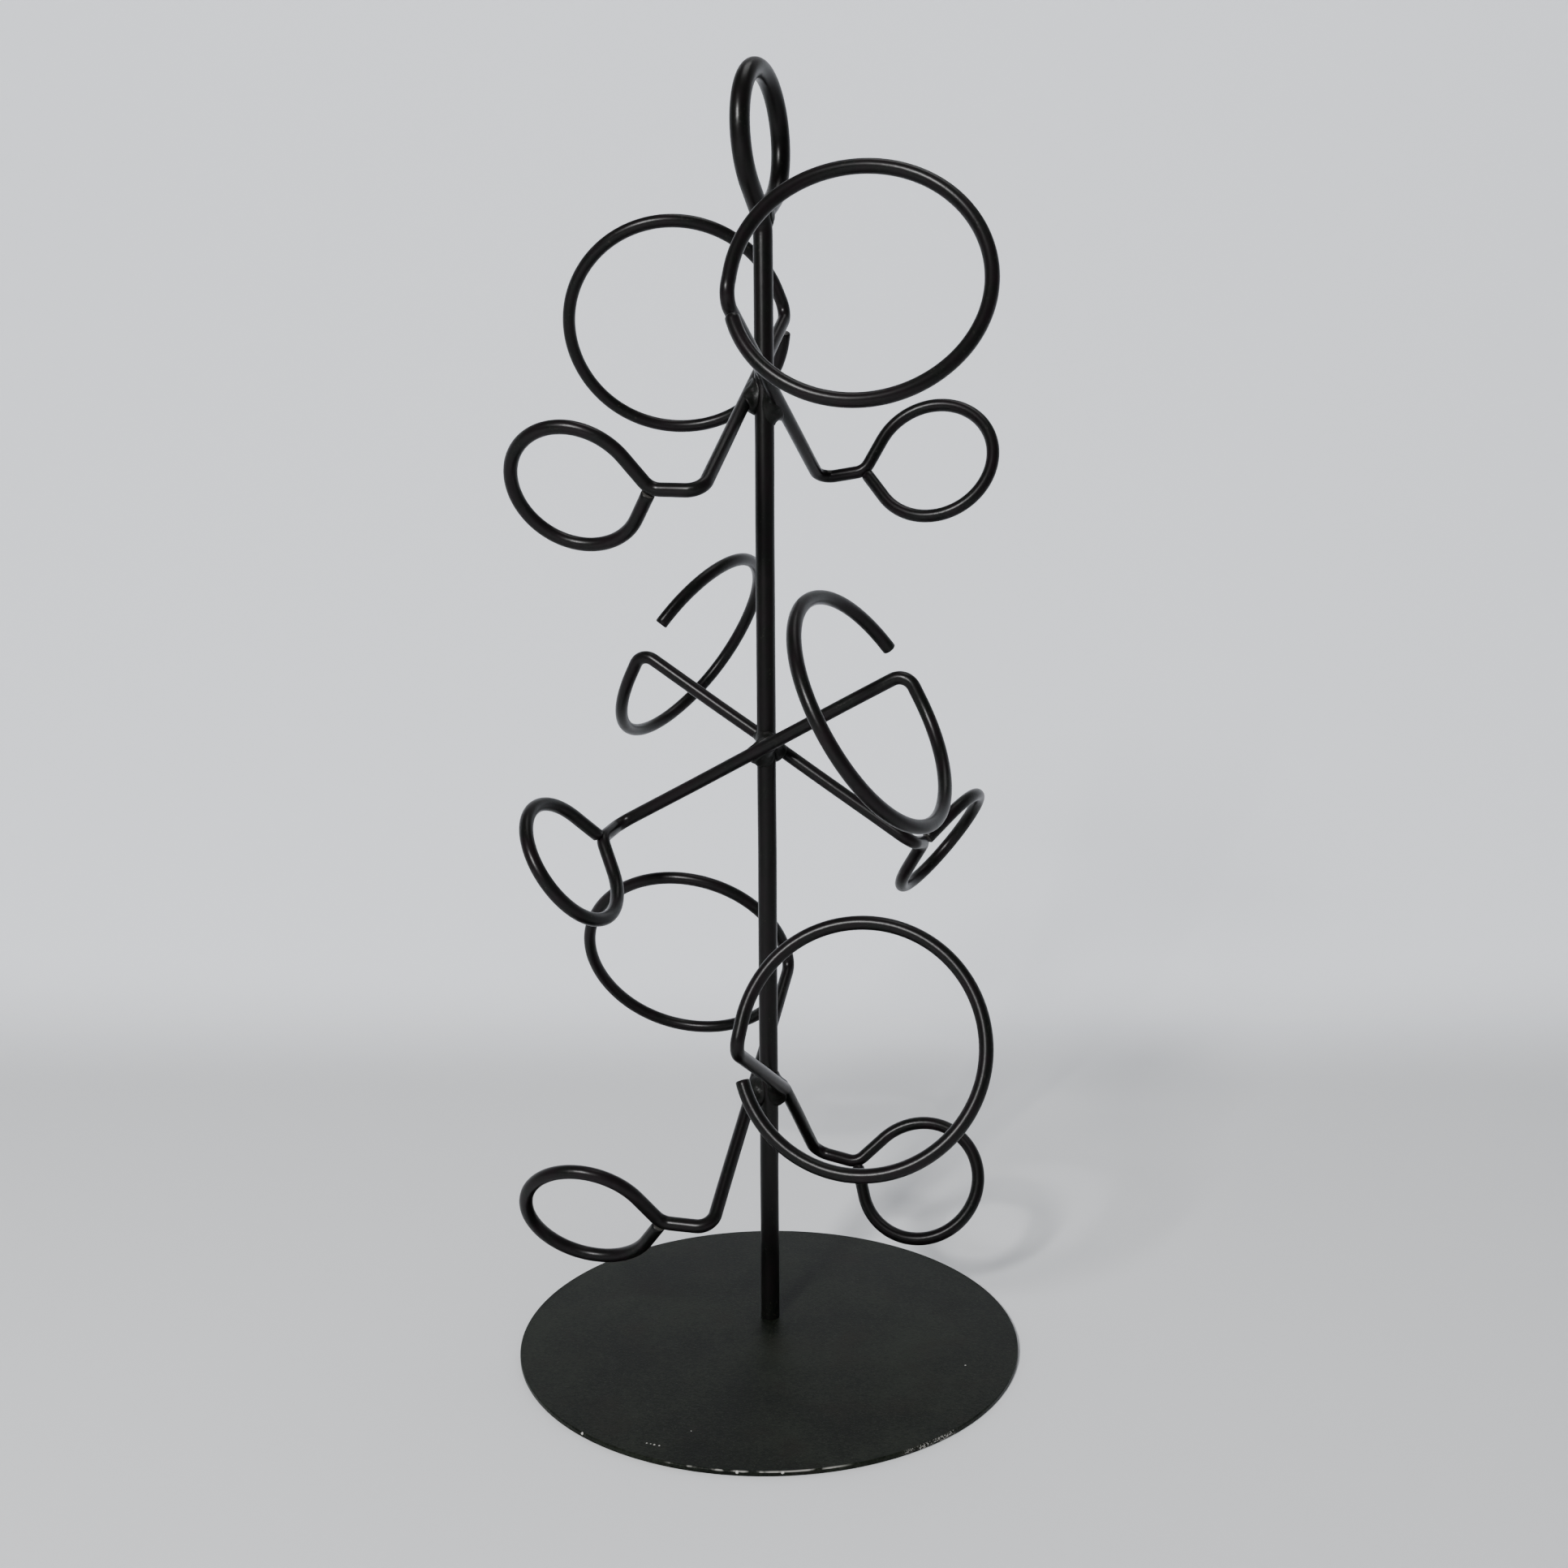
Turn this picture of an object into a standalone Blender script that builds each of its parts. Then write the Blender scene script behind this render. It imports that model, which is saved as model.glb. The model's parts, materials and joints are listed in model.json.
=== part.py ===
"""Wine bottle tree: a round steel plate, a post whose top is bent into a carrying loop, and six
bent-wire bottle holders. The holders are welded to the post in pairs, on three tiers.

Units are metres, and angles are in degrees. +Z is up, +Y is the back and +X the right. The origin
is the middle of the plate's underside, which rests on the table.
"""

from dataclasses import dataclass
from math import acos, ceil, cos, degrees, radians, sin, tan

import bmesh
import bpy
from mathutils import Matrix, Vector

# Stock the tree is made from
PLATE_DIAMETER = 0.250
PLATE_THICKNESS = 0.0025
POST_DIAMETER = 0.0095
WIRE_DIAMETER = 0.0066

# Room left between pieces that touch
FIT_GAP = 0.0003

# The post stands a little behind the plate's middle
POST_SETBACK = 0.018

# A holder: every length is measured to the middle of the wire
LARGE_RING_RADIUS = 0.056
SMALL_RING_RADIUS = 0.031
SIDE_PIECE = 0.0245
BEND_RADIUS = 0.008
# A ring's two straight ends aim at a corner this many radii from its centre
LARGE_CORNER = 1.03
SMALL_CORNER = 1.17
# The small ring's cut end stops this far from the corner, against the outside of the bend
BUTT_SETBACK = 0.0027

# The carrying loop at the top of the post
LOOP_RADIUS = 0.030
LOOP_HEIGHT = 0.5875
LOOP_AZIMUTH = 73
LOOP_SHIFT = 0.002
LOOP_CORNER = 1.2
LOOP_BEND_RADIUS = 0.012
LOOP_END_SETBACK = 0.0048

# The post's foot, which passes through the plate and is welded from below
COUNTERSINK_RADIUS = 0.0075
COUNTERSINK_DEPTH = 0.0016
FOOT_WELD_WIDTH = 0.0014
FOOT_WELD_HEIGHT = 0.0009
RIM_ROUNDING = 0.0005

# Weld beads: half sizes along the arm, up the post and away from the post
UPPER_BEAD = (0.0070, 0.0034, 0.0030)
LOWER_BEAD = (0.0082, 0.0044, 0.0036)
BEAD_OFFSET = 0.0042
BEAD_LIFT = 0.0008
LOOP_BEAD = (0.0062, 0.0062, 0.0030)

# Facets
RING_STEP = 14
BEND_STEP = 23
WIRE_RESOLUTION = 2
POST_RESOLUTION = 4
PLATE_SIDES = 80
BEAD_SIDES = 14
BEAD_RINGS = 8


@dataclass
class Holder:
    """One bottle holder, bent by hand, so that each differs a little from the next.

    height is where its arm crosses the post, and azimuth the way the arm runs down. reach is the
    arm's length from the post to the large ring. Each ring is turned about the arm, about its own
    corner line and about the upright. gap is the angle between the large ring's cut end and its
    corner. mirrored holders bend the other way, and kink turns the lower half of the arm.
    """

    name: str
    height: float
    azimuth: float
    slope: float
    arm: float
    reach: float
    large_turn: tuple
    small_turn: tuple
    gap: float
    mirrored: bool = False
    kink: tuple = (0, 0)


HOLDERS = [
    Holder("top_right", height=0.4645, azimuth=74, slope=24, arm=0.1645, reach=0.0890,
           large_turn=(-11, 3, 9), small_turn=(-7, 1, -3), gap=9),
    Holder("top_left", height=0.4695, azimuth=254, slope=36, arm=0.1640, reach=0.0820,
           large_turn=(-2, 3, 14), small_turn=(-3, 1, 0), gap=10),
    Holder("middle_front", height=0.2995, azimuth=163, slope=28, arm=0.1685, reach=0.0825,
           large_turn=(-11, 2, 8), small_turn=(-8, 5, 2), gap=14, mirrored=True),
    Holder("middle_back", height=0.3005, azimuth=343, slope=33, arm=0.1690, reach=0.0830,
           large_turn=(3, 1, 4), small_turn=(-6, 4, 5), gap=17, mirrored=True),
    Holder("bottom_right", height=0.1255, azimuth=75, slope=28, arm=0.1655, reach=0.0925,
           large_turn=(-7, 8, 2), small_turn=(9, 7, -1), gap=13, kink=(17, -3)),
    Holder("bottom_left", height=0.1245, azimuth=255, slope=34, arm=0.1690, reach=0.0860,
           large_turn=(-5, 5, 4), small_turn=(-4, 5, 3), gap=20),
]


def turn(angle, axis):
    """Rotation by an angle in degrees about X, Y or Z."""
    return Matrix.Rotation(radians(angle), 3, axis)


def rounded(corners, radius):
    """Points along straight runs through the corners, with an arc at every inner corner."""
    points = [corners[0]]
    for before, corner, after in zip(corners, corners[1:], corners[2:]):
        way_in = (corner - before).normalized()
        way_out = (after - corner).normalized()
        bend = way_in.angle(way_out)
        axis = way_in.cross(way_out).normalized()
        start = corner - way_in * radius * tan(bend / 2)
        centre = start + axis.cross(way_in) * radius
        steps = ceil(bend / radians(BEND_STEP))
        for step in range(steps + 1):
            points.append(centre + Matrix.Rotation(bend * step / steps, 3, axis) @ (start - centre))
    points.append(corners[-1])
    return points


def ring_arc(centre, frame, radius, start, end):
    """Points round a ring, whose angles count from its corner towards the frame's Y axis."""
    steps = ceil(abs(end - start) / RING_STEP)
    angles = [radians(start + (end - start) * step / steps) for step in range(steps + 1)]
    return [centre + frame @ Vector((0, radius * sin(a), -radius * cos(a))) for a in angles]


def holder_corners(holder):
    """The arm's corners and the two rings' frames and centres.

    A frame's X axis runs down the arm or through a ring, and its Z axis points away from the post.
    """
    hand = -1 if holder.mirrored else 1
    flat = turn(90 * hand, "X")
    arm = turn(holder.azimuth, "Z") @ turn(holder.slope, "Y") @ flat
    kink_slope, kink_azimuth = holder.kink
    lower = turn(holder.azimuth + hand * kink_azimuth, "Z") @ turn(holder.slope + kink_slope, "Y") @ flat
    roll, tilt, swing = holder.large_turn
    large = arm @ turn(roll, "X") @ turn(tilt, "Z") @ turn(swing, "Y")
    roll, tilt, swing = holder.small_turn
    small = lower @ turn(roll, "X") @ turn(tilt, "Z") @ turn(swing, "Y")

    standoff = (POST_DIAMETER + WIRE_DIAMETER) / 2 + FIT_GAP
    crossing = Vector((0, POST_SETBACK, holder.height)) + standoff * arm.col[2]
    large_corner = crossing - holder.reach * arm.col[0]
    arm_end = crossing + (holder.arm - holder.reach) * lower.col[0]
    small_corner = arm_end + SIDE_PIECE * small.col[2]
    return {
        "arm": arm,
        "crossing": crossing,
        "large_corner": large_corner,
        "arm_end": arm_end,
        "small_corner": small_corner,
        "large": large,
        "large_centre": large_corner + LARGE_CORNER * LARGE_RING_RADIUS * large.col[2],
        "small": small,
        "small_centre": small_corner + SMALL_CORNER * SMALL_RING_RADIUS * small.col[2],
    }


def arm_corners(holder, place):
    """The arm from ring to ring, with a corner at the post where it is kinked."""
    kinked = [place["crossing"]] if any(holder.kink) else []
    return [place["large_corner"], *kinked, place["arm_end"]]


def holder_path(holder):
    """The wire's middle line, from the large ring's cut end to the small ring's."""
    place = holder_corners(holder)
    large_tangent = degrees(acos(1 / LARGE_CORNER))
    small_tangent = degrees(acos(1 / SMALL_CORNER))
    large_ring = ring_arc(place["large_centre"], place["large"], LARGE_RING_RADIUS,
                          360 - holder.gap, large_tangent)
    small_ring = ring_arc(place["small_centre"], place["small"], SMALL_RING_RADIUS,
                          small_tangent, 360 - small_tangent)
    corner = place["small_corner"]
    cut_end = corner + BUTT_SETBACK * (small_ring[-1] - corner).normalized()
    arm = [large_ring[-1], *arm_corners(holder, place), corner, small_ring[0]]
    return large_ring[:-1] + rounded(arm, BEND_RADIUS) + small_ring[1:] + [cut_end]


def loop_path():
    """The post's middle line, up from its foot, round the loop and back down to the post."""
    towards_front = turn(LOOP_AZIMUTH, "Z") @ Vector((-1, 0, 0))
    up = Vector((0, 0, 1))
    loop = Matrix((towards_front.cross(up), towards_front, up)).transposed()
    post = Vector((0, POST_SETBACK, 0))
    centre = post + LOOP_HEIGHT * up + LOOP_SHIFT * towards_front
    tangent = degrees(acos(1 / LOOP_CORNER))
    ring = ring_arc(centre, loop, LOOP_RADIUS, tangent, 360 - tangent)
    corner = centre - LOOP_CORNER * LOOP_RADIUS * up
    way = (ring[0] - corner).normalized()
    bend = corner - way * LOOP_SHIFT / way.dot(towards_front)
    end = corner + LOOP_END_SETBACK * (ring[-1] - corner).normalized()
    return rounded([post + FIT_GAP * up, bend, ring[0]], LOOP_BEND_RADIUS) + ring[1:] + [end]


def painted(name, colour, roughness):
    """A painted finish, as a Principled material."""
    material = bpy.data.materials.new(name)
    material.use_nodes = True
    shader = material.node_tree.nodes["Principled BSDF"]
    shader.inputs["Base Color"].default_value = (*colour, 1)
    shader.inputs["Roughness"].default_value = roughness
    shader.inputs["Metallic"].default_value = 0
    return material


def add(name, data, collection, material=None):
    """An object in its collection; without a material it is a cutter and stays hidden."""
    obj = bpy.data.objects.new(name, data)
    collection.objects.link(obj)
    if material:
        data.materials.append(material)
    else:
        obj.hide_render = True
        obj.display_type = "WIRE"
    return obj


def bar(name, points, diameter, resolution, collection, material=None):
    """A round bar along the points: a curve with a bevel and capped ends."""
    curve = bpy.data.curves.new(name, "CURVE")
    curve.dimensions = "3D"
    curve.bevel_depth = diameter / 2
    curve.bevel_resolution = resolution
    curve.use_fill_caps = True
    spline = curve.splines.new("POLY")
    spline.points.add(len(points) - 1)
    for point, place in zip(spline.points, points):
        point.co = (*place, 1)
    spline.use_smooth = True
    return add(name, curve, collection, material)


def bar_cutter(name, points, diameter):
    """A slightly fatter bar, as a closed mesh, which leaves the fit gap round the real one."""
    curve = bar(name, points, diameter + 2 * FIT_GAP, POST_RESOLUTION, cutters)
    graph = bpy.context.evaluated_depsgraph_get()
    mesh = bpy.data.meshes.new_from_object(curve.evaluated_get(graph))
    place = curve.matrix_world.copy()
    bpy.data.objects.remove(curve)
    shape = bmesh.new()
    shape.from_mesh(mesh)
    bmesh.ops.remove_doubles(shape, verts=shape.verts, dist=0.000001)
    shape.to_mesh(mesh)
    shape.free()
    cutter = add(name, mesh, cutters)
    cutter.matrix_world = place
    return cutter


def cut(obj, cutter):
    """Take the cutter's shape out of an object."""
    boolean = obj.modifiers.new("cut_" + cutter.name, "BOOLEAN")
    boolean.operation = "DIFFERENCE"
    boolean.solver = "EXACT"
    boolean.object = cutter


def turned(name, profile, collection, material=None):
    """A shape turned about the post's axis from (radius, height) points, outer side downwards."""
    mesh = bpy.data.meshes.new(name)
    outline = bmesh.new()
    corners = [outline.verts.new((radius, 0, height)) for radius, height in profile]
    for first, second in zip(corners, corners[1:]):
        outline.edges.new((first, second))
    if profile[0][0] > 0:
        outline.edges.new((corners[-1], corners[0]))
    outline.to_mesh(mesh)
    outline.free()
    obj = add(name, mesh, collection, material)
    obj.location = (0, POST_SETBACK, 0)
    screw = obj.modifiers.new("turned", "SCREW")
    screw.steps = 24
    screw.render_steps = 24
    screw.use_merge_vertices = True
    screw.merge_threshold = 0.00001
    return obj


def bead(name, centre, frame, half_sizes):
    """A bead of weld metal, as a stretched ball."""
    mesh = bpy.data.meshes.new(name)
    ball = bmesh.new()
    bmesh.ops.create_uvsphere(ball, u_segments=BEAD_SIDES, v_segments=BEAD_RINGS, radius=1)
    bmesh.ops.scale(ball, vec=half_sizes, verts=ball.verts)
    ball.to_mesh(mesh)
    ball.free()
    mesh.shade_smooth()
    mesh.set_sharp_from_angle(angle=radians(50))
    obj = add(name, mesh, tree, weld_paint)
    obj.matrix_world = Matrix.Translation(centre) @ frame.to_4x4()
    return obj


def make_base_plate():
    """A flat disc with a rounded rim, and a hole for the post, countersunk from below."""
    mesh = bpy.data.meshes.new("base_plate")
    disc = bmesh.new()
    bmesh.ops.create_cone(disc, cap_ends=True, segments=PLATE_SIDES, radius1=PLATE_DIAMETER / 2,
                          radius2=PLATE_DIAMETER / 2, depth=PLATE_THICKNESS)
    disc.to_mesh(mesh)
    disc.free()
    mesh.shade_smooth()
    mesh.set_sharp_from_angle(angle=radians(50))
    plate = add("base_plate", mesh, tree, plate_paint)
    plate.location = (0, 0, PLATE_THICKNESS / 2)
    rim = plate.modifiers.new("rim", "BEVEL")
    rim.width = RIM_ROUNDING
    rim.segments = 2
    rim.limit_method = "ANGLE"
    hole_radius = POST_DIAMETER / 2 + FIT_GAP
    above = 2 * PLATE_THICKNESS
    hole = turned("foot_hole", [(0, above), (hole_radius, above), (hole_radius, COUNTERSINK_DEPTH),
                                (COUNTERSINK_RADIUS, 0), (COUNTERSINK_RADIUS, -above), (0, -above)],
                  cutters)
    cut(plate, hole)


def make_foot_weld():
    """The ring of weld metal in the countersink, round the post's foot."""
    inner = POST_DIAMETER / 2 + FIT_GAP
    turned("foot_weld", [(inner, FIT_GAP + FOOT_WELD_HEIGHT), (inner + FOOT_WELD_WIDTH, FIT_GAP),
                         (inner, FIT_GAP)], tree, weld_paint)


def make_post():
    """The post and its loop, and the weld bead where the loop's cut end meets the post."""
    path = loop_path()
    bar("post", path, POST_DIAMETER, POST_RESOLUTION, tree, post_paint)
    strand = (path[-2] - path[-1]).normalized()
    rising = bar_cutter("rising_strand", path[:len(path) // 2], POST_DIAMETER)
    falling = bar_cutter("falling_strand", [path[-1] - FIT_GAP * strand, path[-2]], POST_DIAMETER)
    weld = bead("handle_weld", path[-1], strand.to_track_quat("Z", "Y").to_matrix(), LOOP_BEAD)
    cut(weld, rising)
    cut(weld, falling)
    return rising


def make_holder(holder, post_cutter):
    """A holder, bent from one wire, and the two weld beads that fix its arm to the post."""
    bar(holder.name + "_holder", holder_path(holder), WIRE_DIAMETER, WIRE_RESOLUTION, tree, wire_paint)
    place = holder_corners(holder)
    arm_cutter = bar_cutter(holder.name + "_arm", rounded(arm_corners(holder, place), BEND_RADIUS),
                            WIRE_DIAMETER)
    away = place["arm"].col[2]
    touch = place["crossing"] - (WIRE_DIAMETER / 2 - BEAD_LIFT) * away
    up = place["arm"].col[1] * (-1 if holder.mirrored else 1)
    for side, direction, half_sizes in (("upper", 1, UPPER_BEAD), ("lower", -1, LOWER_BEAD)):
        weld = bead(f"{holder.name}_{side}_weld", touch + direction * BEAD_OFFSET * up,
                    place["arm"], half_sizes)
        cut(weld, post_cutter)
        cut(weld, arm_cutter)


for old in list(bpy.data.objects):
    bpy.data.objects.remove(old)

tree = bpy.data.collections.new("wine_bottle_tree")
cutters = bpy.data.collections.new("cutters")
bpy.context.scene.collection.children.link(tree)
bpy.context.scene.collection.children.link(cutters)

post_paint = painted("post_paint", (0.010, 0.009, 0.010), 0.35)
wire_paint = painted("wire_paint", (0.012, 0.010, 0.011), 0.32)
plate_paint = painted("plate_paint", (0.026, 0.030, 0.027), 0.60)
weld_paint = painted("weld_paint", (0.012, 0.012, 0.011), 0.45)

make_base_plate()
make_foot_weld()
post_shape = make_post()
for each in HOLDERS:
    make_holder(each, post_shape)
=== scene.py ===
"""Looks of the wine bottle tree: painted steel bars, plate and welds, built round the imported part."""

import json

import bmesh
import bpy
import numpy as np
from mathutils import Matrix, Vector

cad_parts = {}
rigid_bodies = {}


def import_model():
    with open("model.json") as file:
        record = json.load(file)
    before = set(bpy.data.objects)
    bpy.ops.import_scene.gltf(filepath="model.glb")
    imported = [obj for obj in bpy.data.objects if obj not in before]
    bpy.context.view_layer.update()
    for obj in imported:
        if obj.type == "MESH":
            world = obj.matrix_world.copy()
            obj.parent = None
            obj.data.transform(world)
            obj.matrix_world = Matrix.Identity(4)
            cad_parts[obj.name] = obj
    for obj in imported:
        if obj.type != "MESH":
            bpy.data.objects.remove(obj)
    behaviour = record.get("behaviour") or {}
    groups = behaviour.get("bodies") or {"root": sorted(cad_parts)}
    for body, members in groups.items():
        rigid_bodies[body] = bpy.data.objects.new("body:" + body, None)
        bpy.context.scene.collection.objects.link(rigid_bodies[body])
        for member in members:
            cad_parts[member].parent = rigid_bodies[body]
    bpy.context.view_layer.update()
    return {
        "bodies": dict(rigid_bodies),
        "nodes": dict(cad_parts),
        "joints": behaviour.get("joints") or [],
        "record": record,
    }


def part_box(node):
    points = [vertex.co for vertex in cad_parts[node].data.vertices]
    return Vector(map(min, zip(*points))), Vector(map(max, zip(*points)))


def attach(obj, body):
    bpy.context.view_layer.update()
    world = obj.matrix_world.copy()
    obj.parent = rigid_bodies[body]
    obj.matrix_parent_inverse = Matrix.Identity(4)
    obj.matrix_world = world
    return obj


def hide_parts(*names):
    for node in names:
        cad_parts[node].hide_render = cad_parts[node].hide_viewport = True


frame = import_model()

# ---------------------------------------------------------------------------------------------
# The camera: it stands in front of the tree and a little to its right, held below the top of the
# tree and tipped down by a few degrees.

camera_data = bpy.data.cameras.new("camera")
camera_data.sensor_width = 36
camera_data.lens = 36
camera = bpy.data.objects.new("camera", camera_data)
bpy.context.scene.collection.objects.link(camera)
bpy.context.scene.camera = camera
camera_place = (0.0208, -0.7528, 0.3837)
yaw, pitch, roll = np.radians([-0.91, 7.58, 0.31])
ahead = np.array([np.sin(yaw) * np.cos(pitch), np.cos(yaw) * np.cos(pitch), -np.sin(pitch)])
level = np.array([np.cos(yaw), -np.sin(yaw), 0])
down = np.cross(ahead, level)
right = np.cos(roll) * level + np.sin(roll) * down
up = np.sin(roll) * level - np.cos(roll) * down
turn = np.stack([right, up, -ahead], axis=1)
camera.matrix_world = Matrix([[*row, place] for row, place in zip(turn, camera_place)]
                             + [[0, 0, 0, 1]])

# ---------------------------------------------------------------------------------------------
# The base plate: a disc cut from mild-steel sheet, with a filed rim, painted a matt olive black.
# The post passes through it a little behind its middle, into a countersink underneath.


def grid_mesh(name, points, closed_rows=False, poles=False, bare=None):
    """A mesh on a grid of points, whose columns wrap round.

    With closed_rows the last row joins the first, and with poles the first and last rows are
    single points. bare is a number for each point, from 0 for sound paint to 1 for bare metal; on
    the plate it is how far round the rim a point lies, which places the painted rim highlights.
    """
    rows, columns = points.shape[:2]
    index = np.arange(rows * columns).reshape(rows, columns)
    index = np.concatenate([index, index[:, :1]], axis=1)
    if closed_rows:
        index = np.concatenate([index, index[:1]])
    faces = []
    body = index
    if poles:
        index[0] = index[0, 0]
        index[-1] = index[-1, 0]
        body = index[1:-1]
        first, last = index[:2], index[-2:]
        faces += np.stack([first[0, :-1], first[1, :-1], first[1, 1:]], axis=-1).tolist()
        faces += np.stack([last[1, :-1], last[0, 1:], last[0, :-1]], axis=-1).tolist()
    quads = np.stack([body[:-1, :-1], body[1:, :-1], body[1:, 1:], body[:-1, 1:]], axis=-1)
    faces += quads.reshape(-1, 4).tolist()
    mesh = bpy.data.meshes.new(name)
    mesh.from_pydata(points.reshape(-1, 3).tolist(), [], faces)
    bare_and_glint = mesh.attributes.new("bare", "FLOAT", "POINT")
    bare_and_glint.data.foreach_set("value", np.zeros(rows * columns) if bare is None else bare.ravel())
    work = bmesh.new()
    work.from_mesh(mesh)
    bmesh.ops.delete(work, geom=[v for v in work.verts if not v.link_faces], context="VERTS")
    bmesh.ops.recalc_face_normals(work, faces=work.faces)
    work.to_mesh(mesh)
    work.free()
    mesh.shade_smooth()
    mesh.set_sharp_from_angle(angle=np.radians(50))
    return mesh


def show(name, mesh, material, slot, *nodes):
    """A finished piece that rides on the tree's one body and stands for CAD nodes."""
    piece = bpy.data.objects.new(name, mesh)
    bpy.context.scene.collection.objects.link(piece)
    mesh.materials.append(material)
    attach(piece, "root")
    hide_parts(*nodes)


class Signal:
    """A shader value with arithmetic: each operation adds one Math node."""

    def __init__(self, finish, socket):
        self.finish = finish
        self.socket = socket

    def math(self, operation, first, second):
        return self.finish.node("ShaderNodeMath", {"operation": operation}, {0: first, 1: second})

    def __add__(self, other):
        return self.math("ADD", self, other)

    def __mul__(self, other):
        return self.math("MULTIPLY", self, other)

    def __sub__(self, other):
        return self.math("SUBTRACT", self, other)

    def __rsub__(self, other):
        return self.math("SUBTRACT", other, self)

    __radd__ = __add__
    __rmul__ = __mul__


class Finish:
    """A paint finish being mixed on one Principled material."""

    def __init__(self, name):
        self.material = bpy.data.materials.new(name)
        self.material.use_nodes = True
        self.tree = self.material.node_tree
        self.shader = self.tree.nodes["Principled BSDF"]

    def plug(self, node, sockets):
        """Links a shader node's sockets, or sets their values."""
        for key, value in sockets.items():
            if isinstance(value, Signal):
                self.tree.links.new(value.socket, node.inputs[key])
            else:
                node.inputs[key].default_value = value

    def node(self, kind, settings, sockets, output=0):
        """Any shader node: its settings, then its sockets' values or links."""
        node = self.tree.nodes.new(kind)
        for key, value in settings.items():
            setattr(node, key, value)
        self.plug(node, sockets)
        return Signal(self, node.outputs[output])

    def place(self):
        """A point's place on the object, in metres."""
        return self.node("ShaderNodeTexCoord", {}, {}, "Object")

    def along(self, axis):
        """How far a point is along one of the object's axes, in metres."""
        return self.node("ShaderNodeSeparateXYZ", {}, {"Vector": self.place()}, axis)

    def bare(self):
        """The mesh's own measure of how thin the paint is, from 0 to 1; on the plate, how far round the
        rim a point lies, which places the painted rim highlights.
        """
        return self.node("ShaderNodeAttribute", {"attribute_name": "bare"}, {}, "Fac")

    def noise(self, size, detail=3, rough=0.5):
        """Cloudy noise between 0 and 1, with lumps about the given size in metres."""
        return self.node("ShaderNodeTexNoise", {},
                         {"Vector": self.place(), "Scale": 1 / size, "Detail": detail,
                          "Roughness": rough})

    def step(self, value, low, high):
        """0 below low and 1 above high, with a smooth rise between."""
        return self.node("ShaderNodeMapRange", {"interpolation_type": "SMOOTHSTEP"},
                         {"Value": value, "From Min": low, "From Max": high})

    def mix(self, factor, first, second):
        """A colour between two colours, or between a colour and a link."""
        sides = {6: first, 7: second}
        sides = {key: value if isinstance(value, Signal) else (*value, 1)
                 for key, value in sides.items()}
        return self.node("ShaderNodeMix", {"data_type": "RGBA"}, {0: factor, **sides}, 2)

    def near(self, spot, radius, ragged):
        """A ragged-edged patch round a spot: 1 inside it and 0 outside."""
        reach = self.node("ShaderNodeVectorMath", {"operation": "DISTANCE"},
                          {0: self.place(), 1: spot}, "Value")
        return self.step(radius - reach + (ragged - 0.5) * (1.6 * radius), 0, radius * 0.25)

    def bump(self, height, strength, distance, under=None):
        """A relief from a height signal, over another relief if one is given."""
        sockets = {"Height": height, "Strength": strength, "Distance": distance}
        if under:
            sockets["Normal"] = under
        return self.node("ShaderNodeBump", {}, sockets)


low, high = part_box("base_plate")
plate_radius = high.x
plate_thickness = high.z
rim_rounding = 0.0006
sink_radius = 0.0075
sink_depth = 0.0016
hole_gap = 0.0001
fit_gap = 0.0003
low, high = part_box("foot_weld")
post_place = np.array([(low.x + high.x) / 2, (low.y + high.y) / 2, 0])
post_radius = 0.00475


def plate_surface(sides=256):
    """Circles at each station, from the post's hole over the top, round the rim and back under.

    A station is how far its centre has moved from the hole's to the plate's, its radius and its
    height. The second result is how far round the rim's edge each point lies, from 0 to 1.
    """
    face_steps, rim_steps = 24, 13
    angle = np.linspace(0, 2 * np.pi, sides, endpoint=False)
    hole = post_radius + hole_gap
    spread = np.linspace(0, 1, face_steps)
    curl = np.radians(np.linspace(0, 180, rim_steps))
    flat = plate_radius - rim_rounding
    half = plate_thickness / 2
    share = np.concatenate([spread, np.ones(rim_steps), spread[::-1], [0]])
    radius = np.concatenate([hole + (flat - hole) * spread, flat + rim_rounding * np.sin(curl),
                             sink_radius + (flat - sink_radius) * spread[::-1], [hole]])
    rim = half + (half - rim_rounding) * np.sign(np.cos(curl)) + rim_rounding * np.cos(curl)
    height = np.concatenate([np.full(face_steps, plate_thickness), rim,
                             np.zeros(face_steps), [sink_depth]])
    x = radius[:, None] * np.cos(angle)
    y = radius[:, None] * np.sin(angle) + post_place[1] * (1 - share)[:, None]
    surface = np.stack([x, y, np.broadcast_to(height[:, None], x.shape)], axis=-1)
    edge = np.zeros(x.shape)
    edge[face_steps:face_steps + rim_steps] = np.sin(curl)[:, None] ** 0.5
    return surface, edge


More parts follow.
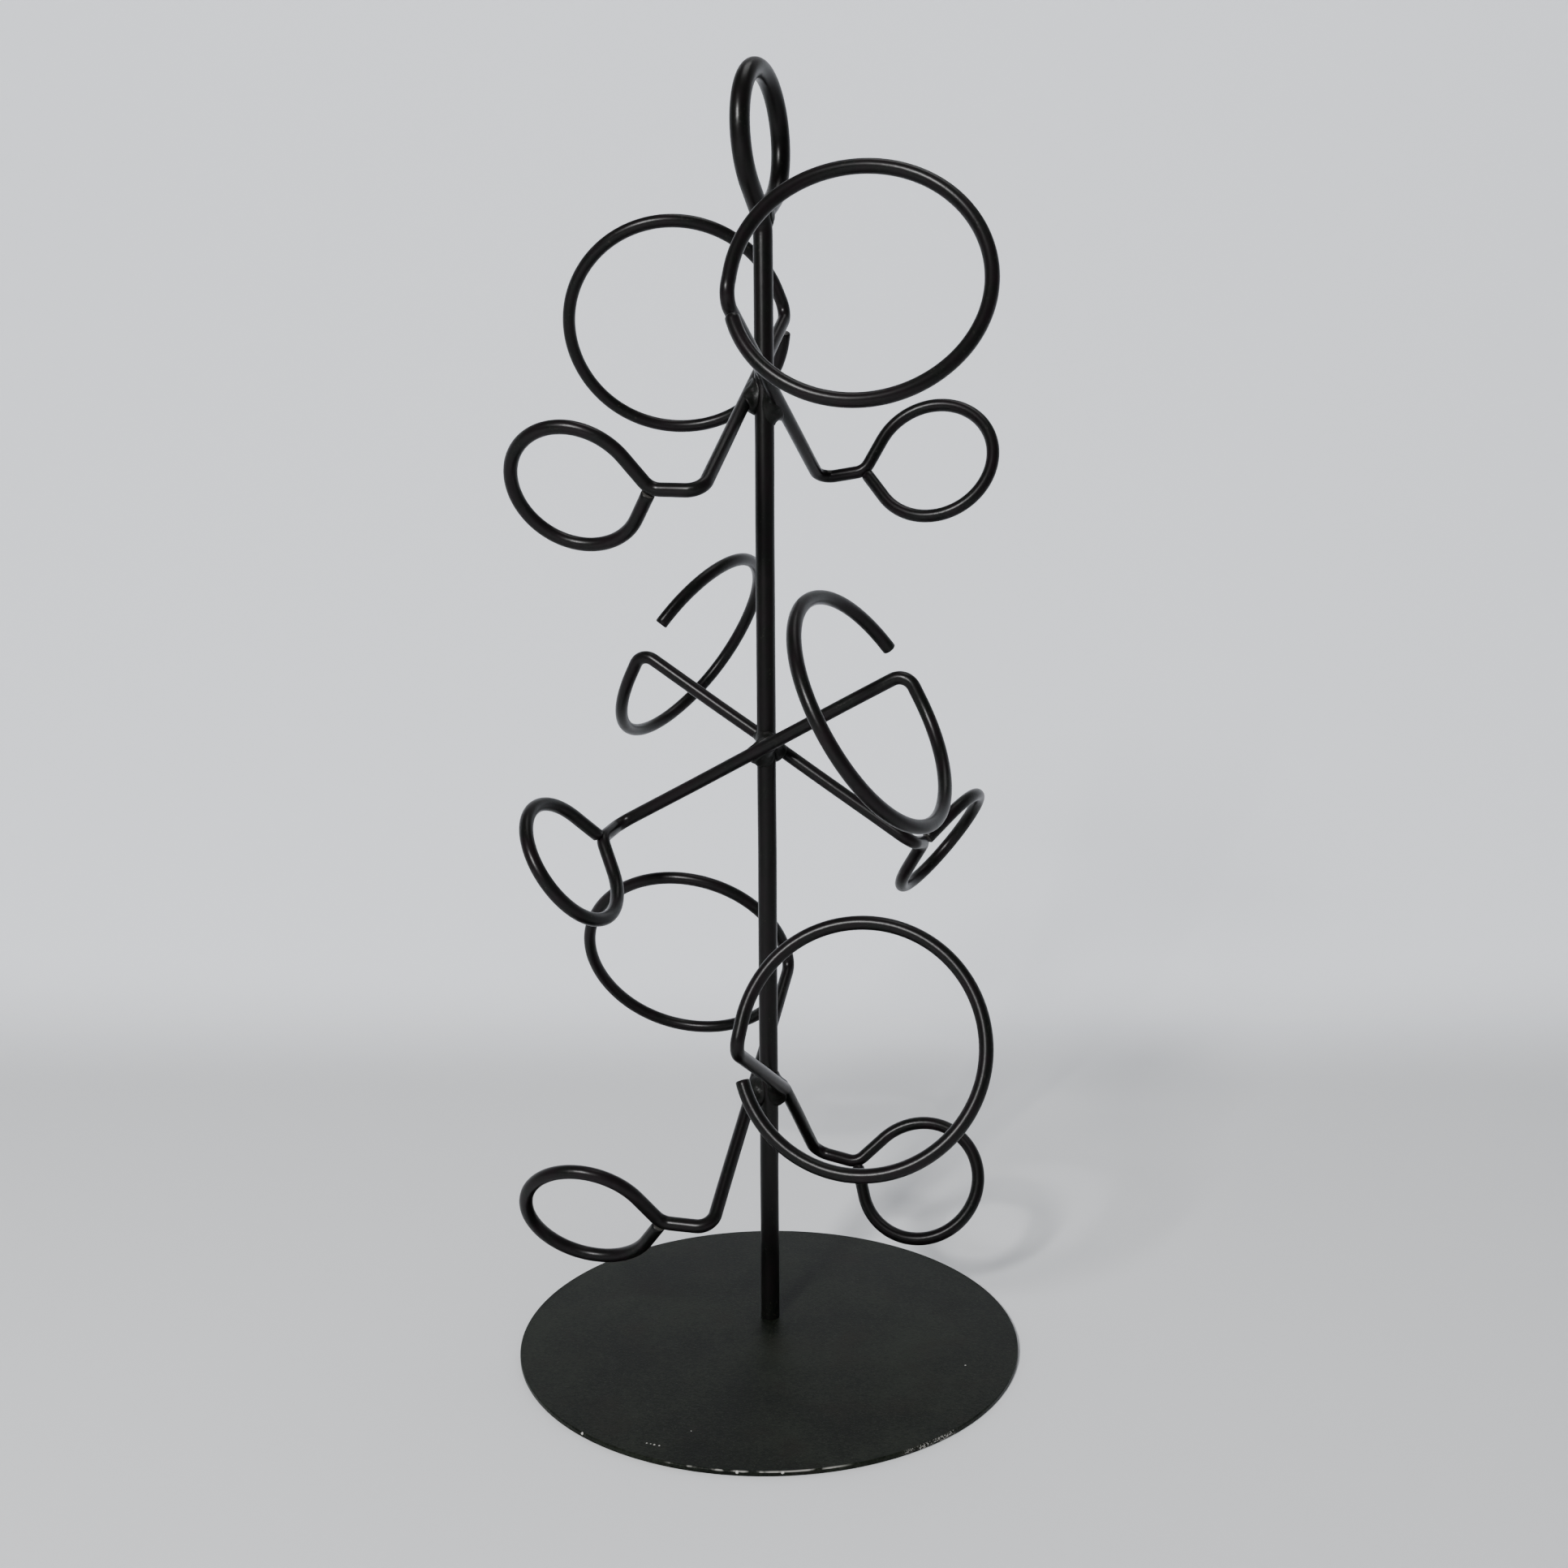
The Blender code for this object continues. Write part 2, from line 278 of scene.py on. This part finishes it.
def plate_paint():
    """Near-black paint with an olive cast: finely grained, clouded, with small light specks, and painted
    highlights on the rim's front edge.
    """
    paint = Finish("plate_paint")
    clouds = paint.noise(0.050, detail=3)
    grain = paint.noise(0.0016, detail=4, rough=0.65)
    speckle = paint.noise(0.0008, detail=2)
    tone = clouds * 0.45 + grain * 0.55
    colour = paint.mix(paint.step(tone, 0.36, 0.64), (0.0028, 0.0037, 0.0025),
                       (0.0125, 0.0152, 0.0108))
    brown = paint.noise(0.028, detail=2)
    colour = paint.mix(paint.step(brown, 0.50, 0.75) * 0.4, colour, (0.0085, 0.0066, 0.0050))
    dust = paint.step(speckle, 0.62, 0.76)
    colour = paint.mix(dust * 0.10, colour, (0.15, 0.16, 0.13))
    ragged = paint.noise(0.0006, detail=3)
    across = paint.along("X")
    edge = paint.bare()
    # Painted highlight: light grey streaks and spots along the top edge of the rim, on its front half
    # only, where the light catches the edge.
    front = paint.step(paint.along("Y") * -1.0, 0.080, 0.086)
    patches = paint.step(paint.noise(0.009, detail=3), 0.44, 0.56)
    corner = paint.step(paint.along("Z"), 0.0018, 0.0021) * edge * patches
    painted_rim_sheen = front * corner * paint.step(across, -0.044, -0.036) * (1 - paint.step(across, 0.030, 0.040))
    painted_rim_streaks = front * edge * paint.step(across, 0.060, 0.066) * (1 - paint.step(across, 0.082, 0.088))
    painted_rim_streaks = painted_rim_streaks * patches * paint.step(ragged, 0.50, 0.62)
    glint_height = plate_thickness - rim_rounding
    painted_rim_glints = [paint.near((plate_radius * np.cos(a), plate_radius * np.sin(a), glint_height), 0.0007, ragged)
             for a in np.radians([-95, -86, -131])]
    specks = [paint.near((x, y, plate_thickness), r, ragged)
              for x, y, r in ((-0.0520, -0.1030, 0.0004), (-0.0502, -0.1036, 0.0003),
                              (-0.0485, -0.1043, 0.0005), (-0.0462, -0.1050, 0.0004),
                              (0.0960, -0.0330, 0.0004), (-0.0330, -0.0930, 0.0003))]
    # The painted rim highlights and the small light specks on the top face, mixed in as one light grey.
    bare_and_glint = sum(painted_rim_glints[1:] + specks, painted_rim_glints[0]) + painted_rim_sheen * 0.55 + painted_rim_streaks * 0.8
    colour = paint.mix(bare_and_glint, colour, (0.44, 0.43, 0.40))
    paint.shader.inputs["Specular IOR Level"].default_value = 0.06
    paint.plug(paint.shader, {
        "Base Color": colour,
        "Roughness": 0.38 + grain * 0.14 + clouds * 0.10 - edge * 0.14 - bare_and_glint * 0.05,
        "Normal": paint.bump(grain * 0.6 + speckle * 0.4, 0.45, 0.00030,
                             paint.bump(clouds, 0.15, 0.0006))})
    return paint.material


disc, disc_edge = plate_surface()
show("plate", grid_mesh("plate", disc, closed_rows=True, bare=disc_edge), plate_paint(),
     "plate_paint", "base_plate")

# ---------------------------------------------------------------------------------------------
# The post: one round bar. Its top is bent round into a carrying loop, and the cut end comes back
# to the post's side, where it is welded. The paint is a satin black that pooled a little.

loop_azimuth = np.radians(73)
loop_radius = 0.030
loop_height = 0.5875
loop_shift = 0.002
loop_corner = 1.2
loop_bend = 0.012
loop_end_setback = 0.0047


def unit(vector):
    """The same direction, one metre long."""
    return vector / np.linalg.norm(vector)


def arc_points(centre, start, axis, angle, spacing):
    """Points of an arc: start - centre turned about an axis, by Rodrigues' rotation formula."""
    arm = start - centre
    count = max(2, int(np.ceil(abs(angle) * np.linalg.norm(arm) / spacing)) + 1)
    turn = np.linspace(0, angle, count)[:, None]
    return (centre + arm * np.cos(turn) + np.cross(axis, arm) * np.sin(turn)
            + axis * (axis @ arm) * (1 - np.cos(turn)))


def bent(corners, radius, spacing=0.0012):
    """Points along straight runs through the corners, with an arc at every inner corner."""
    runs = [corners[:1]]
    for before, corner, after in zip(corners, corners[1:], corners[2:]):
        way_in, way_out = unit(corner - before), unit(after - corner)
        bend = np.arccos(way_in @ way_out)
        axis = unit(np.cross(way_in, way_out))
        start = corner - way_in * radius * np.tan(bend / 2)
        runs.append(arc_points(start + radius * np.cross(axis, way_in), start, axis, bend, spacing))
    runs.append(corners[-1:])
    return np.concatenate(runs)


def ring(centre, frame, radius, start, end, spacing=0.0022):
    """Points round a ring, whose angles in radians count from its corner towards the frame's Y."""
    angle = np.linspace(start, end, int(radius * abs(end - start) / spacing))[:, None]
    return centre + radius * (np.sin(angle) * frame[:, 1] - np.cos(angle) * frame[:, 2])


def fill_in(points, spacing=0.003):
    """The same line with points added along its longer runs."""
    gaps = np.linalg.norm(np.diff(points, axis=0), axis=1)
    reach = np.concatenate([[0], np.cumsum(gaps)])
    keep = np.concatenate([[True], gaps > 1e-7])
    reach, points = reach[keep], points[keep]
    between = [np.linspace(a, b, max(1, int(np.ceil((b - a) / spacing))), endpoint=False)
               for a, b in zip(reach, reach[1:])]
    at = np.concatenate(between + [reach[-1:]])
    return np.stack([np.interp(at, reach, axis) for axis in points.T], axis=1)


def carried(way):
    """Two directions square to each step of the line, carried along it without twisting."""
    side = np.empty_like(way)
    side[0] = unit(np.cross(way[0], np.eye(3)[np.argmin(abs(way[0]))]))
    for i in range(1, len(way)):
        side[i] = unit(side[i - 1] - way[i] * (way[i] @ side[i - 1]))
    return side, np.cross(way, side)


def bar_mesh(name, path, radius, seed, sides=32, wobble=0.00004, chamfer=0.0005):
    """A round bar: a circle at each point of the line, and a chamfered cut face at each end.

    The middle line wanders by the wobble, as hand-bent bar does: a sum of three sine waves.
    """
    path = fill_in(path)
    step = np.gradient(path, axis=0)
    way = step / np.linalg.norm(step, axis=1, keepdims=True)
    side, other = carried(way)
    reach = np.concatenate([[0], np.cumsum(np.linalg.norm(np.diff(path, axis=0), axis=1))])
    waves = np.random.default_rng(seed).uniform(0, 2 * np.pi, (2, 3))
    length = np.array([0.067, 0.110, 0.190])
    drift = [np.sin(2 * np.pi * reach[:, None] / length + wave).sum(axis=1) for wave in waves]
    path = path + wobble * (side * drift[0][:, None] + other * drift[1][:, None])
    ends = [0, 0, 0, *range(1, len(path) - 1), -1, -1, -1]
    size = np.full(len(ends), radius)
    size[[0, -1]] = 0
    size[[1, -2]] = radius - chamfer
    slide = np.zeros(len(ends))
    slide[2], slide[-3] = chamfer, -chamfer
    bare = np.zeros((len(ends), sides))
    bare[[0, 1, -2, -1]] = 1
    centre = path[ends] + slide[:, None] * way[ends]
    turn = np.linspace(0, 2 * np.pi, sides, endpoint=False)[:, None]
    around = np.cos(turn) * side[ends][:, None] + np.sin(turn) * other[ends][:, None]
    return grid_mesh(name, centre[:, None] + size[:, None, None] * around, poles=True, bare=bare)


def loop_path():
    """The post's middle line, up from its foot, round the loop and back down to its own side."""
    front = -np.array([np.cos(loop_azimuth), np.sin(loop_azimuth), 0])
    upward = np.array([0, 0, 1.0])
    frame = np.stack([np.cross(front, upward), front, upward], axis=1)
    centre = post_place + loop_height * upward + loop_shift * front
    tangent = np.arccos(1 / loop_corner)
    circle = ring(centre, frame, loop_radius, tangent, 2 * np.pi - tangent, 0.0015)
    corner = centre - loop_corner * loop_radius * upward
    way = unit(circle[0] - corner)
    bend = corner - way * loop_shift / (way @ front)
    end = corner + loop_end_setback * unit(circle[-1] - corner)
    foot = post_place + fit_gap * upward
    return np.concatenate([bent(np.array([foot, bend, circle[0]]), loop_bend), circle[1:], [end]])


def bar_paint(name, first, second, gloss, marks=()):
    """Satin black paint on bar: two near-black tones in drifts, fine scuffs, and marks.

    first and second are the two tones. marks are (place, radius) of spots rubbed to bare steel.
    """
    paint = Finish(name)
    drifts = paint.noise(0.012, detail=4, rough=0.6)
    grain = paint.noise(0.0011, detail=4, rough=0.65)
    dents = paint.noise(0.006, detail=2)
    fine = paint.noise(0.0005, detail=3)
    colour = paint.mix(paint.step(drifts * 0.7 + grain * 0.3, 0.38, 0.62), first, second)
    scuffs = paint.step(grain, 0.56, 0.72) * paint.step(drifts, 0.50, 0.62)
    colour = paint.mix(scuffs * 0.32, colour, (0.060, 0.050, 0.042))
    bare = paint.bare() * 0.30
    for spot, size in marks:
        bare = bare + paint.near(spot, size, fine)
    bare = paint.step(bare * (0.6 + fine * 0.8), 0.1, 0.9)
    colour = paint.mix(bare, colour, (0.24, 0.23, 0.21))
    paint.shader.inputs["Specular IOR Level"].default_value = 0.15
    paint.plug(paint.shader, {
        "Base Color": colour,
        "Roughness": gloss + grain * 0.12 + scuffs * 0.16 + bare * 0.1,
        "Normal": paint.bump(grain, 0.14, 0.0002, paint.bump(dents, 0.14, 0.0004))})
    return paint.material


post_line = loop_path()
post_paint = bar_paint("post_paint", (0.0046, 0.0034, 0.0038), (0.0028, 0.0034, 0.0028), 0.25)
show("post_bar", bar_mesh("post_bar", post_line, post_radius, 4, sides=40, wobble=0.00003),
     post_paint, "post_paint", "post")

# ---------------------------------------------------------------------------------------------
# The six holders: each is one length of round wire, bent on a jig into a large ring for the
# bottle's body, a sloping arm, a short side piece and a small ring for its neck.

wire_radius = 0.0033
large_radius = 0.056
small_radius = 0.031
large_corner = 1.03
small_corner = 1.17
side_piece = 0.0245
bend_radius = 0.008
butt_setback = 0.0025
standoff = post_radius + wire_radius + fit_gap
# The height where each arm crosses the post, the way it runs and slopes, its whole length, its
# reach on the large ring's side, the turns of each ring about the frame's X, Z and Y, the large
# ring's gap, the hand, where -1 takes the other side of the post, and the kink there, as added
# slope and azimuth. Angles are in degrees.
holders = {
    "top_right": dict(height=0.4645, azimuth=74, slope=24, arm=0.1645, reach=0.0890,
                      large=(-11, 3, 9), small=(-7, 1, -3), gap=9),
    "top_left": dict(height=0.4695, azimuth=254, slope=36, arm=0.1640, reach=0.0820,
                     large=(-2, 3, 14), small=(-3, 1, 0), gap=10),
    "middle_front": dict(height=0.2995, azimuth=163, slope=28, arm=0.1685, reach=0.0825,
                         large=(-11, 2, 8), small=(-8, 5, 2), gap=14, hand=-1),
    "middle_back": dict(height=0.3005, azimuth=343, slope=33, arm=0.1690, reach=0.0830,
                        large=(3, 1, 4), small=(-6, 4, 5), gap=17, hand=-1),
    "bottom_right": dict(height=0.1255, azimuth=75, slope=28, arm=0.1655, reach=0.0925,
                         large=(-7, 8, 2), small=(9, 7, -1), gap=13, kink=(17, -3)),
    "bottom_left": dict(height=0.1245, azimuth=255, slope=34, arm=0.1690, reach=0.0860,
                        large=(-5, 5, 4), small=(-4, 5, 3), gap=20),
}


def turned(*steps):
    """Rotations in degrees about named axes, one after another, as one 3 x 3 array."""
    total = Matrix.Identity(3)
    for angle, axis in steps:
        total = total @ Matrix.Rotation(np.radians(angle), 3, axis)
    return np.array(total)


def holder_lines(height, azimuth, slope, arm, reach, large, small, gap, hand=1, kink=(0, 0)):
    """The wire's middle line, its straight arm alone, the crossing and the arm's frame."""
    upper = turned((azimuth, "Z"), (slope, "Y"), (90 * hand, "X"))
    lower = turned((azimuth + hand * kink[1], "Z"), (slope + kink[0], "Y"), (90 * hand, "X"))
    big = upper @ turned((large[0], "X"), (large[1], "Z"), (large[2], "Y"))
    little = lower @ turned((small[0], "X"), (small[1], "Z"), (small[2], "Y"))
    crossing = post_place + [0, 0, height] + standoff * upper[:, 2]
    big_corner = crossing - reach * upper[:, 0]
    arm_end = crossing + (arm - reach) * lower[:, 0]
    little_corner = arm_end + side_piece * little[:, 2]
    tangent = np.arccos(1 / np.array([large_corner, small_corner]))
    big_ring = ring(big_corner + large_corner * large_radius * big[:, 2], big, large_radius,
                    2 * np.pi - np.radians(gap), tangent[0])
    little_ring = ring(little_corner + small_corner * small_radius * little[:, 2], little,
                       small_radius, tangent[1], 2 * np.pi - tangent[1], 0.0015)
    kinked = [crossing] if any(kink) else []
    bends = np.array([big_corner, *kinked, arm_end])
    cut_end = little_corner + butt_setback * unit(little_ring[-1] - little_corner)
    line = bent(np.array([big_ring[-1], *bends, little_corner, little_ring[0]]), bend_radius)
    whole = np.concatenate([big_ring[:-1], line, little_ring[1:], [cut_end]])
    return whole, bent(bends, bend_radius), crossing, upper


lines = {name: holder_lines(**sizes) for name, sizes in holders.items()}
cut_face = lines["top_right"][0][0]
# The marks are two scuffs on the middle front ring, one on its arm, and a nicked cut face
wire_paint = bar_paint("wire_paint", (0.0056, 0.0038, 0.0046), (0.0030, 0.0037, 0.0032), 0.26,
                       marks=[((0.044, -0.089, 0.308), 0.0020), ((0.068, -0.080, 0.297), 0.0016),
                              ((-0.047, 0.000, 0.283), 0.0014), (tuple(cut_face), 0.0016)])
for number, (name, (whole, arm, crossing, turn)) in enumerate(lines.items()):
    mesh = bar_mesh(name + "_wire", whole, wire_radius, number)
    show(name + "_wire", mesh, wire_paint, "wire_paint", name + "_holder")

# ---------------------------------------------------------------------------------------------
# The welds: two beads of steel to a holder, above and below its arm, run into the corner between
# arm and post and painted over, one round the loop's cut end, and one under the plate.


def bar_distance(points, line, radius):
    """How far points are outside a bar: the distance to the nearest piece of its middle line."""
    start, run = line[:-1], np.diff(line, axis=0)
    rel = points[:, None] - start
    along = np.clip((rel * run).sum(axis=-1) / (run ** 2).sum(axis=-1), 0, 1)
    return np.linalg.norm(rel - along[..., None] * run, axis=-1).min(axis=1) - radius


def ripple(points, seed, size=0.0022):
    """Smooth lumps between -1 and 1: a product of sine waves in three slanting directions."""
    rng = np.random.default_rng(seed)
    ways = rng.normal(size=(3, 3))
    phases = rng.uniform(0, 2 * np.pi, 3)
    scaled = points @ (ways / np.linalg.norm(ways, axis=1, keepdims=True)).T / size
    return np.sin(scaled + phases).prod(axis=1) * 1.6


def bead_mesh(name, centre, frame, bars, half_sizes, fill, seed, rows=72, sides=120):
    """A weld bead: for each direction from its centre, the last point still inside the metal.

    The metal is where a blend of the bars' distances is below zero: the smaller distance, less
    fill/4 times the square of how nearly equal they are. It is kept inside a ball of the half
    sizes, with small lumps, and the last point is found by halving a range 24 times.
    """
    tilt = np.linspace(0, np.pi, rows)[:, None]
    turn = np.linspace(0, 2 * np.pi, sides, endpoint=False)
    flat = np.sin(tilt) * np.ones(sides)
    ways = np.stack([flat * np.cos(turn), flat * np.sin(turn), np.cos(tilt) * np.ones(sides)], -1)
    ways = ways.reshape(-1, 3) @ frame.T
    near = np.zeros(len(ways))
    far = np.full(len(ways), max(half_sizes) * 1.2)
    for _ in range(24):
        reach = (near + far) / 2
        points = centre + ways * reach[:, None]
        first, second = (bar_distance(points, line, radius) for line, radius in bars)
        level = np.clip(1 - abs(first - second) / fill, 0, 1)
        metal = np.minimum(first, second) + 0.00006 - level ** 2 * fill / 4
        metal = metal - level * 0.00022 * ripple(points, seed)
        local = (points - centre) @ frame / half_sizes
        ball = (np.linalg.norm(local, axis=1) - 1) * min(half_sizes)
        inside = np.maximum(metal, ball) < 0
        near = np.where(inside, reach, near)
        far = np.where(inside, far, reach)
    points = (centre + ways * near[:, None]).reshape(rows, sides, 3)
    return grid_mesh(name, points, poles=True)


def weld_paint():
    """Paint over weld metal: the bars' black, thicker and lumpier, with fine grit in it."""
    paint = Finish("weld_paint")
    lumps = paint.noise(0.0018, detail=3)
    grit = paint.noise(0.0006, detail=3, rough=0.7)
    colour = paint.mix(paint.step(lumps, 0.35, 0.65), (0.0050, 0.0044, 0.0042),
                       (0.0032, 0.0042, 0.0032))
    specks = paint.step(grit, 0.70, 0.80)
    colour = paint.mix(specks * 0.35, colour, (0.07, 0.07, 0.065))
    paint.shader.inputs["Specular IOR Level"].default_value = 0.15
    paint.plug(paint.shader, {
        "Base Color": colour,
        "Roughness": 0.34 + lumps * 0.14 + specks * 0.2,
        "Normal": paint.bump(grit, 0.25, 0.0002, paint.bump(lumps, 0.5, 0.0005))})
    return paint.material


weld_finish = weld_paint()
straight_post = np.array([post_place, post_place + [0, 0, 0.5]])
bead_lift = 0.0001
bead_spread = 0.0004
for number, (name, (whole, arm, crossing, turn)) in enumerate(lines.items()):
    hand = holders[name].get("hand", 1)
    touch = crossing - (wire_radius + bead_lift) * turn[:, 2]
    bars = [(straight_post, post_radius), (arm, wire_radius)]
    for side, way, fill in (("upper", hand, 0.0045), ("lower", -hand, 0.0090)):
        centre = touch + way * bead_spread * turn[:, 1]
        sizes = np.array([0.0095, 0.0088, 0.0050])
        mesh = bead_mesh(f"{name}_{side}_bead", centre, turn, bars, sizes, fill, number)
        show(f"{name}_{side}_bead", mesh, weld_finish, "weld_paint", f"{name}_{side}_weld")

strand = unit(post_line[-3] - post_line[-1])
across = unit(np.cross(strand, [0, 0, 1.0]))
frame_there = np.stack([across, np.cross(strand, across), strand], axis=1)
middle = len(post_line) // 2
near_end = np.linalg.norm(post_line - post_line[-1], axis=1) < 0.02
rising = np.concatenate([[post_place], post_line[:middle][near_end[:middle]]])
falling = post_line[middle:][near_end[middle:]]
mesh = bead_mesh("loop_bead", post_line[-1], frame_there,
                 [(rising, post_radius), (falling, post_radius)],
                 np.array([0.0075, 0.0075, 0.0075]), 0.006, 9)
show("loop_bead", mesh, weld_finish, "weld_paint", "handle_weld")


def foot_ring(sides=96):
    """A three-cornered ring with softened corners, turned about the post inside the countersink."""
    part = np.linspace(0, 2 * np.pi, 18, endpoint=False)
    wide = (high.x - low.x) / 2 - post_radius - fit_gap
    tall = high.z - low.z
    out = wide * (0.36 + 0.36 * np.cos(part) + 0.20 * np.cos(2 * part))
    rise = tall * (0.45 + 0.42 * np.sin(part) - 0.12 * np.sin(2 * part))
    turn = np.linspace(0, 2 * np.pi, sides, endpoint=False)
    radius = (post_radius + 0.0004 + out)[:, None]
    return post_place + np.stack([radius * np.cos(turn), radius * np.sin(turn),
                                  low.z + rise[:, None] * np.ones(sides)], axis=-1)


show("foot_ring", grid_mesh("foot_ring", foot_ring(), closed_rows=True), weld_finish,
     "weld_paint", "foot_weld")

# ---------------------------------------------------------------------------------------------
# The studio: a pale round floor that sweeps up into a wide glowing wall, brightest behind the
# tree, with a soft window light from the front left and little light from above.


def sweep_surface(sides=128):
    """A wide flat disc, its centre well forward, curving up into a round wall: a quarter circle."""
    flat, bend, forward, top = 3.5, 1.3, 3.10, 3.4
    curl = np.linspace(0, np.pi / 2, 24)
    radius = np.concatenate([[0, 1.0, 2.5], flat + bend * np.sin(curl), [flat + bend]])
    height = np.concatenate([[0, 0, 0], bend * (1 - np.cos(curl)), [top]])
    turn = np.linspace(0, 2 * np.pi, sides, endpoint=False)
    return np.stack([radius[:, None] * np.cos(turn), radius[:, None] * np.sin(turn) - forward,
                     np.repeat(height[:, None], sides, axis=1)], axis=-1)


points = sweep_surface()
rows, columns = points.shape[:2]
index = np.arange(rows * columns).reshape(rows, columns)
index = np.concatenate([index, index[:, :1]], axis=1)
quads = np.stack([index[:-1, :-1], index[:-1, 1:], index[1:, 1:], index[1:, :-1]], axis=-1)
mesh = bpy.data.meshes.new("sweep")
mesh.from_pydata(points.reshape(-1, 3).tolist(), [], quads.reshape(-1, 4).tolist())
mesh.shade_smooth()
card = Finish("sweep_card")
depth = card.along("Y")
# The wall glows fully behind the tree and a sixth as much in front, and fades out overhead
near_wall = card.step(depth, 0.38, 0.66)
front_wall = card.step(depth * -1.0, 5.8, 7.2) * 0.16
glow = (near_wall + front_wall) * (1 - card.step(card.along("Z"), 1.25, 1.9))
card.plug(card.shader, {
    "Base Color": (0.72, 0.73, 0.745, 1),
    "Roughness": 0.85,
    "Emission Color": card.mix(glow, (0, 0, 0), (0.43, 0.45, 0.495)),
    "Emission Strength": 1.0})
mesh.materials.append(card.material)
sweep = bpy.data.objects.new("sweep", mesh)
bpy.context.scene.collection.objects.link(sweep)

for name, place, target, size, power in (
        ("window", (-0.85, -1.9, 1.45), (0, 0, 0.3), 0.36, 84),
        ("ceiling", (0.3, 0.3, 2.6), (0, 0.2, 0), 1.0, 12)):
    light = bpy.data.lights.new(name, "AREA")
    light.shape = "SQUARE"
    light.size = size
    light.energy = power
    lamp = bpy.data.objects.new(name, light)
    lamp.location = place
    lamp.rotation_euler = (Vector(target) - lamp.location).to_track_quat("-Z", "Y").to_euler()
    bpy.context.scene.collection.objects.link(lamp)

world = bpy.data.worlds.new("surround")
world.use_nodes = True
world.node_tree.nodes["Background"].inputs["Color"].default_value = (0.92, 0.95, 1.0, 1)
world.node_tree.nodes["Background"].inputs["Strength"].default_value = 0.06
bpy.context.scene.world = world
